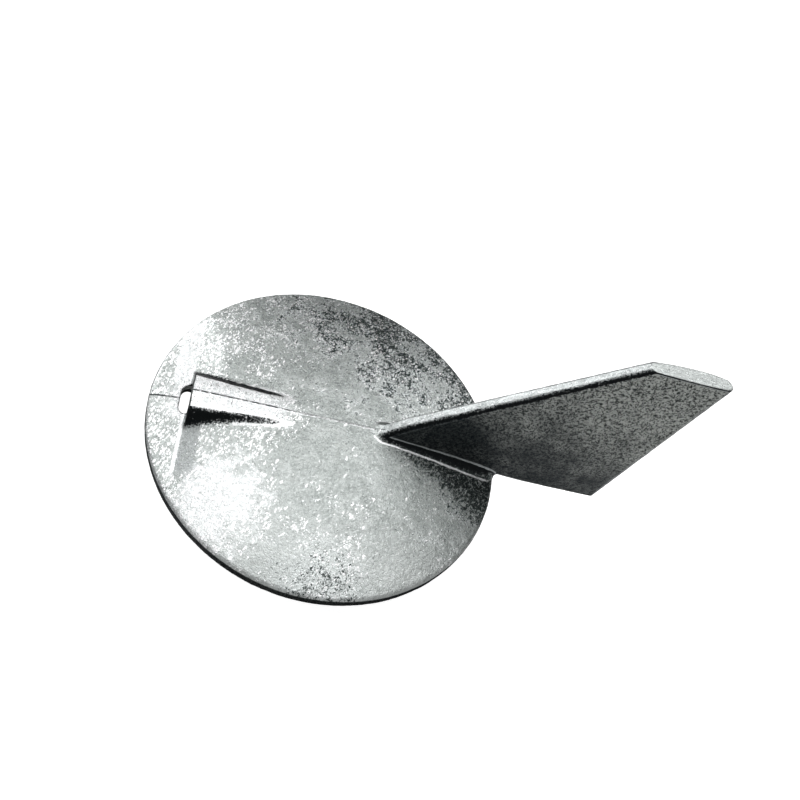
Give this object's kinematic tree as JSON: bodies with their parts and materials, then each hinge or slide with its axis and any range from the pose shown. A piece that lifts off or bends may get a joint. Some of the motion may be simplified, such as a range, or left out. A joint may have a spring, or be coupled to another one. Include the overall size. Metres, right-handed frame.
{
  "type": "trim tab anode",
  "caption": "Round domed trim-tab anode with a swept upright fin, a water hood over a slot, and a threaded mounting hub on its hidden side.",
  "frame": {"origin": "centre of the hub's end face, at the mouth of the threaded hole", "axes": "+Z along the hub's axis towards the domed face and the fin's tip, +X from the disc's leading edge towards the fin's trailing edge, +Y square to the fin"},
  "size_m": [0.1341, 0.095, 0.0785],
  "materials": {
    "zinc_casting": "as-cast, shot-blasted zinc alloy, mottled satin grey",
    "insert_steel": "plain machined steel, faintly oily"
  },
  "bodies": {
    "root": {"anode_casting": "zinc_casting", "threaded_insert": "insert_steel"}
  },
  "joints": []
}
